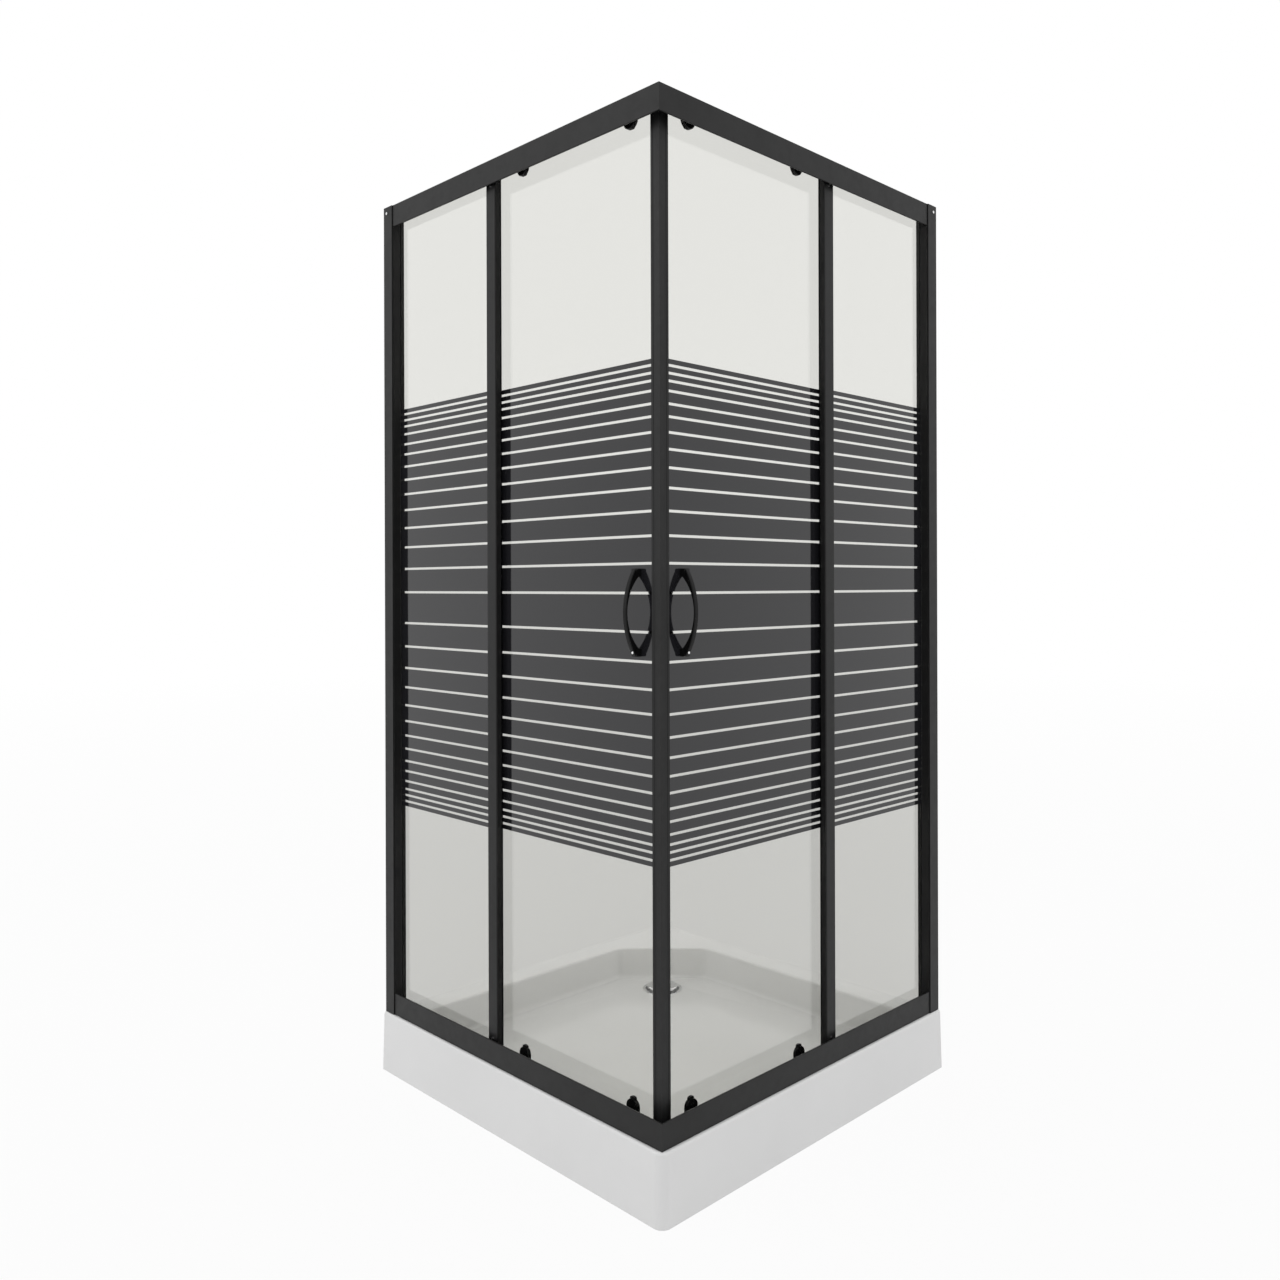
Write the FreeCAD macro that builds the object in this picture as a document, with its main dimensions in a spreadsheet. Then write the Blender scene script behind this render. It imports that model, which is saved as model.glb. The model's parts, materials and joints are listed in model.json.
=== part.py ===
import FreeCAD, Part
import os
import re
import Sketcher

# Square corner-entry shower enclosure: a low acrylic tray on a steel frame, two fixed glass
# panels against the house walls at -X and +Y, and two doors that slide away from the near
# corner at +X, -Y. Millimetres, +Z up, origin at the middle of the footprint on the floor.
# Left-hand pieces lie along the -Y side. Right-hand pieces are their mirror image in the
# vertical plane through the entry corner. Depths are measured inward from the rails' face,
# reaches along a side from the entry corner, and heights from the frame's foot.

DRIVING_SIZES = (
    # Tray
    ("tray_width", 900.0),
    ("tray_height", 130.0),
    ("tray_draft", 4.0),
    ("tray_corner_radius", 20.0),
    ("rim_edge_radius", 5.0),
    ("basin_edge_radius", 6.0),
    ("rim_width", 66.0),
    ("tray_shell", 4.0),
    ("basin_depth", 70.0),
    ("basin_draft", 14.0),
    ("basin_corner_radius", 36.0),
    ("basin_foot_radius", 10.0),
    ("deck_leg", 150.0),
    ("floor_fall", 6.0),
    ("wall_edge_drop", 45.0),
    # Waste
    ("drain_inset", 205.0),
    ("drain_radius", 45.0),
    ("neck_wall", 2.5),
    ("neck_gap", 0.5),
    ("neck_length", 14.0),
    ("flange_lip", 3.5),
    ("flange_thickness", 2.0),
    ("spider_hub_radius", 14.0),
    ("spider_arm_width", 6.0),
    ("spider_thickness", 2.5),
    ("spider_drop", 4.0),
    ("cap_disc_radius", 37.5),
    ("cap_disc_thickness", 3.0),
    ("cap_rise", 4.0),
    ("cap_stem_radius", 9.0),
    ("seal_thickness", 2.5),
    ("seal_width", 9.0),
    ("bowl_radius", 52.0),
    ("bowl_wall", 2.5),
    ("bowl_ground_gap", 1.0),
    ("spigot_radius", 16.0),
    ("spigot_wall", 2.5),
    ("spigot_reach", 95.0),
    ("spigot_gap", 5.0),
    ("spigot_grip", 36.0),
    ("spigot_stop", 2.0),
    # Support frame and feet
    ("tube_size", 20.0),
    ("tube_wall", 1.5),
    ("bar_end_inset", 90.0),
    ("bar_near_inset", 150.0),
    ("bar_far_inset", 330.0),
    ("end_foot_inset", 20.0),
    ("bolt_radius", 6.0),
    ("bolt_gap", 0.2),
    ("nut_radius", 10.4),
    ("nut_height", 6.0),
    ("bolt_head_room", 4.0),
    ("pad_radius", 20.0),
    ("pad_height", 9.0),
    ("pad_floor", 3.0),
    # Frame envelope
    ("frame_setback", 10.0),
    ("frame_height", 1832.0),
    ("wall_box", 36.0),
    ("wall_flange", 33.5),
    ("wall_proud", 2.0),
    ("channel_wall", 1.6),
    ("channel_gap", 0.4),
    ("jamb_gap", 4.0),
    ("jamb_depth", 30.0),
    ("profile_wall", 1.4),
    ("slot_depth", 10.0),
    ("wall_screw_radius", 3.0),
    ("wall_screw_pitch", 1500.0),
    # Rails
    ("rail_height", 48.5),
    ("rail_wall", 1.4),
    ("rail_base", 1.6),
    ("rail_bead", 3.2),
    ("rail_edge_radius", 1.0),
    ("rib_wall", 1.2),
    ("rib_height", 16.0),
    ("lip_height", 24.0),
    ("hook_drop", 3.1),
    ("hook_width", 1.6),
    ("back_edge", 8.0),
    ("back_gap", 2.5),
    ("port_radius", 3.8),
    ("port_height", 27.0),
    ("port_depth", 4.8),
    # Glass, gaskets and posts
    ("glass_setback", 18.0),
    ("fixed_glass", 4.0),
    ("gasket_side", 1.2),
    ("glass_foot", 6.0),
    ("glass_end_gap", 1.0),
    ("post_width", 31.0),
    ("post_front", 12.5),
    ("post_edge_radius", 2.5),
    ("post_screw_height", 45.5),
    ("plug_gap", 0.2),
    ("plug_height", 36.0),
    ("bracket_leg", 60.0),
    ("bracket_height", 12.0),
    # Screws
    ("screw_radius", 1.8),
    ("screw_gap", 0.2),
    ("screw_head_radius", 3.2),
    ("screw_head_height", 2.2),
    ("screw_length", 12.0),
    ("face_screw_inset", 14.5),
    ("face_screw_drop", 15.0),
    # Doors
    ("door_glass", 5.0),
    ("door_share", 0.5674),
    ("door_overlap", 19.0),
    ("open_gap", 9.0),
    ("edge_gap", 0.8),
    ("lead_front", 5.8),
    ("lead_back", 2.7),
    ("lead_tip", 37.0),
    ("lead_end", 48.5),
    ("lead_slot_wall", 4.0),
    ("glue_gap", 0.3),
    ("seam_gap", 0.02),
    ("tongue_depth", 3.0),
    ("tongue_width", 2.2),
    ("tongue_front", 2.4),
    ("groove_width", 1.8),
    ("groove_depth", 0.8),
    ("seal_wall", 1.0),
    ("seal_grip", 9.0),
    ("fin_gap", 0.7),
    # Rollers
    ("roller_near", 102.0),
    ("roller_inset", 90.0),
    ("cap_gap", 0.9),
    ("cap_thickness", 7.0),
    ("cap_radius", 16.5),
    ("cap_drop", 27.8),
    ("cap_edge_radius", 1.5),
    ("hole_inset", 12.0),
    ("top_hole_radius", 4.2),
    ("boss_radius", 3.5),
    ("boss_gap", 0.5),
    ("boss_seat", 2.0),
    ("plate_gap", 0.3),
    ("plate_thickness", 1.5),
    ("plate_width", 10.0),
    ("wheel_radius", 8.0),
    ("wheel_width", 5.0),
    ("groove_radius", 6.4),
    ("wheel_groove", 2.4),
    ("run_gap", 0.3),
    ("axle_radius", 2.5),
    ("axle_fit", 0.05),
    ("axle_head_radius", 3.4),
    ("axle_head", 1.2),
    ("housing_radius", 14.0),
    ("housing_wall", 1.7),
    ("press_travel", 4.0),
    ("slider_height", 11.0),
    ("slider_gap", 0.3),
    ("slider_width", 18.0),
    ("button_width", 13.0),
    ("button_rise", 4.0),
    ("spring_radius", 2.1),
    ("spring_wire", 0.7),
    ("stop_length", 12.0),
    ("stop_height", 17.0),
    # Handles
    ("handle_reach", 87.0),
    ("handle_height", 921.5),
    ("handle_length", 157.0),
    ("handle_width", 9.0),
    ("handle_rise", 36.0),
    ("handle_bar", 4.5),
    ("handle_shoulder", 12.0),
    ("handle_foot", 15.0),
    ("handle_foot_width", 13.0),
    ("handle_foot_radius", 3.0),
    ("handle_edge_radius", 1.8),
    ("handle_screw_radius", 1.8),
    ("handle_hole_gap", 1.5),
    ("handle_head_radius", 2.7),
    ("handle_head_height", 2.4),
    ("handle_recess", 12.5),
    # One overrun serves every cutter
    ("overrun", 2.0),
)

# Places and sizes worked out from the driving ones, written as expressions of their names.
WORKED_OUT = {
    "half": "tray_width / 2",
    "frame_width": "tray_width - frame_setback",
    "corner": "frame_width - half",
    "rim_top": "tray_height",
    "frame_top": "tray_height + frame_height",
    "frame_mid": "tray_height + frame_height / 2",
    "tray_front": "half - tray_draft",
    "basin_edge": "half - rim_width",
    "basin_foot": "basin_edge - basin_draft",
    "floor_edge": "tray_height - basin_depth",
    "floor_low": "floor_edge - floor_fall",
    "under_floor": "floor_low - tray_shell",
    "drain_at": "half - drain_inset",
    "neck_radius": "drain_radius - neck_gap",
    "neck_bore": "neck_radius - neck_wall",
    "seal_foot": "under_floor - seal_thickness",
    "spigot_height": "under_floor - spigot_gap - spigot_radius",
    "cap_foot": "floor_low + flange_thickness + cap_rise",
    "spider_top": "floor_low - spider_drop",
    "tube_foot": "under_floor - tube_size",
    "bar_end": "half - bar_end_inset",
    "bar_near": "half - bar_near_inset",
    "bar_far": "half - bar_far_inset",
    "rail_start": "wall_box - half",
    "rib_one": "glass_setback - gasket_side - rib_wall",
    "rib_one_back": "glass_setback - gasket_side",
    "glass_back": "glass_setback + fixed_glass",
    "rib_two": "glass_back + gasket_side",
    "rib_two_back": "rib_two + rib_wall",
    "cap_front": "rib_two_back + cap_gap",
    "door_front": "cap_front + cap_thickness",
    "door_back": "door_front + door_glass",
    "door_middle": "door_front + door_glass / 2",
    "plate_front": "door_back + plate_gap",
    "plate_back": "plate_front + plate_thickness",
    "rail_depth": "plate_back + back_gap + rail_wall",
    "lip_under": "lip_height - rail_wall",
    "hook_tip": "lip_height - hook_drop",
    "hook_front": "door_middle - hook_width / 2",
    "hook_back": "door_middle + hook_width / 2",
    "wheel_height": "hook_tip - run_gap - groove_radius",
    "wheel_front": "door_middle - wheel_width / 2",
    "wheel_back": "door_middle + wheel_width / 2",
    "axle_tip": "wheel_front - plate_gap",
    "door_reach": "frame_width * door_share",
    "door_travel": "frame_width - wall_box - door_reach - open_gap",
    "roller_far": "door_reach - roller_inset",
    "door_foot": "lip_height + edge_gap",
    "door_length": "frame_height - 2 * door_foot",
    "post_right": "door_reach - door_overlap",
    "post_left": "post_right + post_width",
    "post_grip": "rib_two - profile_wall - post_front",
    "lead_face": "door_front - lead_front",
    "lead_inside": "door_back + lead_back",
    "hole_height": "door_foot + hole_inset",
    "slide_hole_radius": "boss_radius + press_travel / 2 + boss_gap",
    "boss_height": "hole_height + press_travel / 2",
    "housing_foot": "door_foot",
    "cavity_foot": "housing_foot + housing_wall",
    "slider_top": "boss_height + slider_height / 2",
    "slider_foot": "boss_height - slider_height / 2",
    "cavity_top": "slider_top + slider_gap",
    "arch_half": "slider_width / 2 + slider_gap + housing_wall",
    "arch_height": "cavity_top - sqrt(housing_radius ^ 2 - arch_half ^ 2)",
    "housing_top": "arch_height + housing_radius",
    "handle_top": "handle_height + handle_length / 2",
    "handle_low": "handle_height - handle_length / 2",
    "outer_sag": "handle_rise - handle_shoulder",
    "inner_sag": "handle_rise - handle_bar - handle_shoulder / 3",
    "inner_half": "handle_length / 2 - handle_foot",
    "outer_arc": "(handle_length ^ 2 / 4 + outer_sag ^ 2) / (2 * outer_sag)",
    "inner_arc": "(inner_half ^ 2 + inner_sag ^ 2) / (2 * inner_sag)",
}

SIZE_NAMES = {name for name, _ in DRIVING_SIZES}

doc = FreeCAD.newDocument("shower_enclosure")
sizes = doc.addObject("Spreadsheet::Sheet", "sizes")
for row, (size_name, size_value) in enumerate(DRIVING_SIZES, start=1):
    sizes.set(f"A{row}", size_name)
    sizes.set(f"B{row}", f"{size_value:g}")
    sizes.setAlias(f"B{row}", size_name)
doc.recompute()

nodes = {}
counter = {}


def link(text):
    """An expression with each size's name bound to its cell and each worked-out name spelled out."""
    def bind(match):
        word = match.group()
        if word in SIZE_NAMES:
            return f"sizes.{word}"
        if word in WORKED_OUT:
            return f"({link(WORKED_OUT[word])})"
        return word
    return re.sub(r"[a-z][a-z_]*", bind, str(text))


def fresh(stem):
    """An object name that no other object has."""
    counter[stem] = counter.get(stem, 0) + 1
    return f"{stem}_{counter[stem]}"


def keep(name, piece):
    """Names a finished sub-part."""
    piece.Label = name
    nodes[name] = piece
    return piece


def side(depth):
    """Y of a depth behind the rails' face on the left-hand side."""
    return f"({depth}) - corner"


def along(reach):
    """X of a reach from the entry corner on the left-hand side."""
    return f"corner - ({reach})"


def up(height):
    """Z of a height above the frame's foot."""
    return f"rim_top + ({height})"


def place(piece, x, y, z):
    for axis, text in zip("xyz", (x, y, z)):
        piece.setExpression(f"Placement.Base.{axis}", link(text))


def box(x_low, x_high, y_low, y_high, z_low, z_high):
    """A block between two corners."""
    block = doc.addObject("Part::Box", fresh("block"))
    place(block, x_low, y_low, z_low)
    block.setExpression("Length", link(f"({x_high}) - ({x_low})"))
    block.setExpression("Width", link(f"({y_high}) - ({y_low})"))
    block.setExpression("Height", link(f"({z_high}) - ({z_low})"))
    return block


TURNS = {"x": FreeCAD.Rotation(FreeCAD.Vector(0, 1, 0), 90),
         "y": FreeCAD.Rotation(FreeCAD.Vector(1, 0, 0), -90),
         "z": FreeCAD.Rotation()}


def rod(axis, x, y, z, radius, length):
    """A round bar that starts at a point and runs along an axis."""
    bar = doc.addObject("Part::Cylinder", fresh("bar"))
    bar.Placement.Rotation = TURNS[axis]
    place(bar, x, y, z)
    bar.setExpression("Radius", link(radius))
    bar.setExpression("Height", link(length))
    return bar


def fused(*pieces):
    whole = doc.addObject("Part::MultiFuse", fresh("fused"))
    whole.Shapes = list(pieces)
    whole.Refine = True
    return whole


def grouped(*pieces):
    bunch = doc.addObject("Part::Compound", fresh("group"))
    bunch.Links = list(pieces)
    return bunch


def cut(base, *tools):
    """The base less its cutters."""
    left = doc.addObject("Part::Cut", fresh("cut"))
    left.Base = base
    left.Tool = tools[0] if len(tools) == 1 else grouped(*tools)
    left.Refine = True
    return left


def common(base, tool):
    shared = doc.addObject("Part::Common", fresh("common"))
    shared.Base = base
    shared.Tool = tool
    return shared


def mirrored(source, normal, height=None, depth=None):
    """A mirror image in a plane through the axis, or through a height or a depth."""
    image = doc.addObject("Part::Mirroring", fresh("image"))
    image.Source = source
    image.Normal = normal
    if height:
        image.setExpression("Base.z", link(height))
    if depth:
        image.setExpression("Base.y", link(depth))
    return image


ENTRY_DIAGONAL = FreeCAD.Vector(1, 1, 0)
UPWARD = FreeCAD.Vector(0, 0, 1)
INWARD = FreeCAD.Vector(0, 1, 0)


def right_hand(piece):
    return mirrored(piece, ENTRY_DIAGONAL)


def top_hand(piece):
    return mirrored(piece, UPWARD, height="frame_mid")


def keep_pair(name, piece):
    """A left-hand sub-part and its right-hand twin."""
    keep(f"{name}_left", piece)
    keep(f"{name}_right", right_hand(piece))
    return piece


PLANES = {"x": "YZ_Plane", "y": "XZ_Plane", "z": "XY_Plane"}
DRAFT_REACH = 100.0   # where an outline starts loosely, before its linked distances place it


def sketch(body, normal, outlines, offset="0", circles=()):
    """A sketch of closed outlines, each corner held by two linked distances from the origin."""
    drawing = body.newObject("Sketcher::SketchObject", fresh("sketch"))
    plane = next(item for item in body.Origin.OriginFeatures if item.Role == PLANES[normal])
    drawing.AttachmentSupport = [(plane, "")]
    drawing.MapMode = "FlatFace"
    drawing.setExpression("AttachmentOffset.Base.z", link(offset))
    for corners in outlines:
        first = drawing.GeometryCount
        count = len(corners)
        ring = [FreeCAD.Vector(DRAFT_REACH, 0, 0)]
        turn = FreeCAD.Rotation(UPWARD, 360 / count)
        for _ in corners[1:]:
            ring.append(turn.multVec(ring[-1]))
        for index in range(count):
            drawing.addGeometry(Part.LineSegment(ring[index], ring[(index + 1) % count]))
        for index, (across, upward) in enumerate(corners):
            edge = first + index
            follower = first + (index + 1) % count
            drawing.addConstraint(Sketcher.Constraint("Coincident", edge, 2, follower, 1))
            for kind, text, guess in (("DistanceX", across, ring[index].x),
                                      ("DistanceY", upward, ring[index].y)):
                held = drawing.addConstraint(Sketcher.Constraint(kind, -1, 1, edge, 1, guess))
                drawing.setExpression(f"Constraints[{held}]", link(text))
    for across, upward, radius in circles:
        middle = FreeCAD.Vector(DRAFT_REACH, DRAFT_REACH, 0)
        round_edge = drawing.addGeometry(Part.Circle(middle, UPWARD, DRAFT_REACH))
        for kind, text in (("DistanceX", across), ("DistanceY", upward)):
            held = drawing.addConstraint(Sketcher.Constraint(kind, -1, 1, round_edge, 3, DRAFT_REACH))
            drawing.setExpression(f"Constraints[{held}]", link(text))
        held = drawing.addConstraint(Sketcher.Constraint("Radius", round_edge, DRAFT_REACH))
        drawing.setExpression(f"Constraints[{held}]", link(radius))
    return drawing


def new_body(stem):
    return doc.addObject("PartDesign::Body", fresh(stem))


def pad(body, drawing, length):
    raised = body.newObject("PartDesign::Pad", fresh("pad"))
    raised.Profile = drawing
    raised.setExpression("Length", link(length))
    return raised


def pocket(body, drawing):
    """Cuts a drawing right through a body, both ways."""
    hollow = body.newObject("PartDesign::Pocket", fresh("pocket"))
    hollow.Profile = drawing
    hollow.Type = "ThroughAll"
    hollow.Midplane = True
    return hollow


def loft(body, low, high):
    hull = body.newObject("PartDesign::AdditiveLoft", fresh("loft"))
    hull.Profile = low
    hull.Sections = [high]
    hull.Ruled = True
    return hull


def round_edges(body, radius, chosen):
    """Rounds the edges of a body whose end points pass a test."""
    doc.recompute()
    base = body.Tip
    names = []
    for number, edge in enumerate(base.Shape.Edges, start=1):
        if chosen(edge.Vertexes[0].Point, edge.Vertexes[-1].Point):
            names.append(f"Edge{number}")
    if not names:
        raise RuntimeError(f"no edge to round on {body.Name}")
    softened = body.newObject("PartDesign::Fillet", fresh("fillet"))
    softened.Base = (base, names)
    softened.setExpression("Radius", link(radius))
    return softened


def size_of(name):
    """A driving size's value, as the sheet holds it."""
    return sizes.get(name)


def near(value, target):
    return abs(value - target) < size_of("edge_gap") / 4


def rounded(piece, radius, chosen):
    """Rounds the edges of a piece that pass a test."""
    doc.recompute()
    softened = doc.addObject("Part::Fillet", fresh("softened"))
    softened.Base = piece
    size = size_of(radius)
    softened.Edges = [(number, size, size)
                      for number, edge in enumerate(piece.Shape.Edges, start=1) if chosen(edge)]
    return softened


# Tray: one moulded shell with an apron on the two open sides, a turned-down edge on the two
# wall sides, a basin with a raised deck across the wall corner, and a floor that falls to the
# drain.

def tray_block(inset, low, high):
    """A square block whose two open sides lean back with the draft."""
    body = new_body("tray_block")
    wall = f"half - ({inset})"
    square = [(f"-({wall})", f"-({wall})"), (wall, f"-({wall})"), (wall, wall), (f"-({wall})", wall)]
    pad(body, sketch(body, "z", [square], offset=low), f"({high}) - ({low})")
    foot, brim = wall, f"{wall} - tray_draft"
    lean_right = [(foot, "0"), (brim, "rim_top"), (f"{foot} + overrun", "rim_top"),
                  (f"{foot} + overrun", "0")]
    pocket(body, sketch(body, "y", [lean_right]))
    pocket(body, sketch(body, "x", [[(f"-({y})", z) for y, z in lean_right]]))
    return body


def basin_plan(reach, leg, x, y):
    """A square about a point, with the corner at -X, +Y cut off by the deck."""
    corners = [(f"-({reach})", f"-({reach})"), (reach, f"-({reach})"), (reach, reach),
               (f"({leg}) - ({reach})", reach), (f"-({reach})", f"({reach}) - ({leg})")]
    return [(f"{x} + {across}", f"{y} + {inward}") for across, inward in corners]


def basin_block(outset, low, high):
    """A square block with one corner cut off by the deck, widening upward with the basin's draft."""
    body = new_body("basin_block")
    plan = basin_plan(f"basin_foot + ({outset})", "deck_leg", "0", "0")
    raised = pad(body, sketch(body, "z", [plan], offset=low), f"({high}) - ({low})")
    raised.setExpression("TaperAngle", link("atan(basin_draft / basin_depth)"))
    least = size_of("floor_fall") / 2
    round_edges(body, f"basin_corner_radius + ({outset})", lambda a, b: abs(a.z - b.z) > least)
    return body


def floor_dish():
    """The hollow of the floor's fall: flat facets from near the basin's foot down to the drain's seat."""
    body = new_body("floor_dish")
    seat = "drain_radius + flange_lip + edge_gap"
    low = basin_plan(seat, f"({seat}) / 2", "-drain_at", "drain_at")
    margin = "basin_corner_radius / 3"
    high = basin_plan(f"basin_foot - {margin}", f"deck_leg - {margin} * (2 - sqrt(2))", "0", "0")
    loft(body, sketch(body, "z", [low], offset="floor_low"), sketch(body, "z", [high], offset="floor_edge"))
    return body


def make_tray():
    outer = tray_block("0", "0", "rim_top")

    def upright_front_corner(a, b):
        return a.x > 0 and b.x > 0 and a.y < 0 and b.y < 0 and abs(a.z - b.z) > size_of("tray_shell")

    round_edges(outer, "tray_corner_radius", upright_front_corner)
    top = size_of("tray_height")
    wall = size_of("tray_width") / 2

    def rim_edge(a, b):
        on_top = near(a.z, top) and near(b.z, top)
        on_wall = (near(a.x, -wall) and near(b.x, -wall)) or (near(a.y, wall) and near(b.y, wall))
        return on_top and not on_wall

    round_edges(outer, "rim_edge_radius", rim_edge)
    under = tray_block("tray_shell", "0", "rim_top - tray_shell")
    round_edges(under, "tray_corner_radius - tray_shell", upright_front_corner)
    shell = basin_block("tray_shell", "under_floor", "rim_top - tray_shell / 2")
    hollow = basin_block("0", "floor_edge", "rim_top + overrun")
    foot = top - size_of("basin_depth")
    round_edges(hollow, "basin_foot_radius", lambda a, b: near(a.z, foot) and near(b.z, foot))
    dish = floor_dish()
    drain = rod("z", "-drain_at", "drain_at", "under_floor - overrun", "drain_radius",
                "tray_shell + 2 * overrun")
    left_open = box("-half - overrun", "tray_shell - half", "tray_shell - tray_front", "half + overrun",
                    "-overrun", "rim_top - wall_edge_drop")
    back_open = box("-half - overrun", "tray_front - tray_shell", "half - tray_shell", "half + overrun",
                    "-overrun", "rim_top - wall_edge_drop")
    moulded = cut(fused(cut(outer, under), shell), hollow, dish, drain, left_open, back_open)
    reach = wall - size_of("rim_width") + size_of("basin_edge_radius")

    def basin_brim(edge):
        ends = [vertex.Point for vertex in edge.Vertexes]
        return all(near(p.z, top) and abs(p.x) < reach and abs(p.y) < reach for p in ends)

    keep("tray", rounded(moulded, "basin_edge_radius", basin_brim))


make_tray()


# Waste: a flat bowl clamped under the floor, with an outlet spigot towards the left wall.

def make_waste():
    x, y = "-drain_at", "drain_at"
    ring = rod("z", x, y, "seal_foot", "drain_radius + seal_width", "seal_thickness")
    opening = rod("z", x, y, "seal_foot - overrun", "drain_radius", "seal_thickness + 2 * overrun")
    keep("waste_seal", cut(ring, opening))

    bowl_height = "seal_foot - bowl_ground_gap"
    bowl = rod("z", x, y, "bowl_ground_gap", "bowl_radius", bowl_height)
    brim = rod("z", x, y, "seal_foot - 2 * bowl_wall", "drain_radius + seal_width", "2 * bowl_wall")
    spigot = rod("x", f"{x} - spigot_reach", y, "spigot_height", "spigot_radius", "spigot_reach")
    stop = rod("x", f"{x} - spigot_reach + spigot_grip", y, "spigot_height", "spigot_radius + spigot_stop",
               "spigot_reach - spigot_grip - bowl_radius / 2")
    inside = rod("z", x, y, "bowl_ground_gap + bowl_wall", "bowl_radius - bowl_wall",
                 "seal_foot - bowl_ground_gap - 2 * bowl_wall")
    mouth = rod("z", x, y, "seal_foot - 2 * bowl_wall", "drain_radius", "2 * bowl_wall + overrun")
    bore = rod("x", f"{x} - spigot_reach - overrun", y, "spigot_height",
               "spigot_radius - spigot_wall", "spigot_reach + overrun")
    keep("waste_body", cut(fused(bowl, brim, spigot, stop), inside, mouth, bore))

    lip = rod("z", x, y, "floor_low", "drain_radius + flange_lip", "flange_thickness")
    neck = rod("z", x, y, "floor_low - neck_length", "neck_radius", "neck_length")
    throat = rod("z", x, y, "floor_low - neck_length - overrun", "neck_bore",
                 "neck_length + flange_thickness + 2 * overrun")
    hub = rod("z", x, y, "spider_top - spider_thickness", "spider_hub_radius", "spider_thickness")
    arms = []
    for wide, deep in (("(neck_bore + neck_gap)", "spider_arm_width / 2"),
                       ("spider_arm_width / 2", "(neck_bore + neck_gap)")):
        arms.append(box(f"{x} - {wide}", f"{x} + {wide}", f"{y} - {deep}", f"{y} + {deep}",
                        "spider_top - spider_thickness", "spider_top"))
    keep("waste_flange", fused(cut(fused(lip, neck), throat), hub, *arms))

    disc = rod("z", x, y, "cap_foot", "cap_disc_radius", "cap_disc_thickness")
    crown = doc.addObject("Part::Cone", fresh("crown"))
    place(crown, x, y, "cap_foot + cap_disc_thickness")
    crown.setExpression("Radius1", link("cap_disc_radius"))
    crown.setExpression("Radius2", link("cap_disc_radius - cap_disc_thickness"))
    crown.setExpression("Height", link("cap_disc_thickness / 3"))
    stem = rod("z", x, y, "spider_top + run_gap", "cap_stem_radius", "cap_foot - spider_top")
    keep("drain_cap", fused(disc, crown, stem))


make_waste()


# Support frame: square steel tubes in a lattice under the floor, on six screw feet.

def tube(axis, low, high, offset):
    """A hollow square tube along X or Y, flush under the floor."""
    shapes = []
    for inset, beyond in (("0", "0"), ("tube_wall", "overrun")):
        a, b = f"({low}) - {beyond}", f"({high}) + {beyond}"
        c, d = f"({offset}) - tube_size / 2 + {inset}", f"({offset}) + tube_size / 2 - {inset}"
        e, f = f"tube_foot + {inset}", f"under_floor - {inset}"
        shapes.append(box(a, b, c, d, e, f) if axis == "x" else box(c, d, a, b, e, f))
    return cut(*shapes)


FOOT_PLACES = (("-bar_far", "-bar_near"), ("bar_near", "-bar_near"), ("bar_near", "bar_far"),
               ("-bar_far", "bar_far"), ("end_foot_inset - bar_end", "bar_far"),
               ("-bar_far", "bar_end - end_foot_inset"))


def make_support():
    long_bars = [tube("x", "-bar_end", "bar_end", offset) for offset in ("-bar_near", "bar_far")]
    spans = (("-bar_end", "-bar_near - tube_size / 2"),
             ("tube_size / 2 - bar_near", "bar_far - tube_size / 2"),
             ("bar_far + tube_size / 2", "bar_end"))
    short_bars = [tube("y", low, high, offset) for offset in ("-bar_far", "bar_near") for low, high in spans]
    holes = [rod("z", x, y, "tube_foot - overrun", "bolt_radius + bolt_gap", "overrun + tube_wall * 2")
             for x, y in FOOT_PLACES]
    bars = long_bars + short_bars
    keep("support_frame", grouped(*[cut(bar, *holes) for bar in bars]))

    pads = []
    bolts = []
    for x, y in FOOT_PLACES:
        base = rod("z", x, y, "0", "pad_radius", "pad_floor * 2")
        collar = rod("z", x, y, "0", "pad_radius / 2", "pad_height")
        socket = rod("z", x, y, "pad_floor", "bolt_radius + bolt_gap", "pad_height")
        pads.append(cut(fused(base, collar), socket))
        shank = rod("z", x, y, "pad_floor", "bolt_radius", "under_floor - bolt_head_room - pad_floor")
        nut = doc.addObject("Part::Prism", fresh("nut"))
        nut.Polygon = 6
        place(nut, x, y, "tube_foot - nut_height")
        nut.setExpression("Circumradius", link("nut_radius"))
        nut.setExpression("Height", link("nut_height"))
        bolts.append(fused(shank, nut))
    keep("foot_pads", grouped(*pads))
    keep("foot_bolts", grouped(*bolts))


make_support()


# Rails: one extrusion, mitred at the entry corner. The fascia hides a glazing channel for the
# fixed panel and a hooked track that the door's wheels run on.

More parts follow.
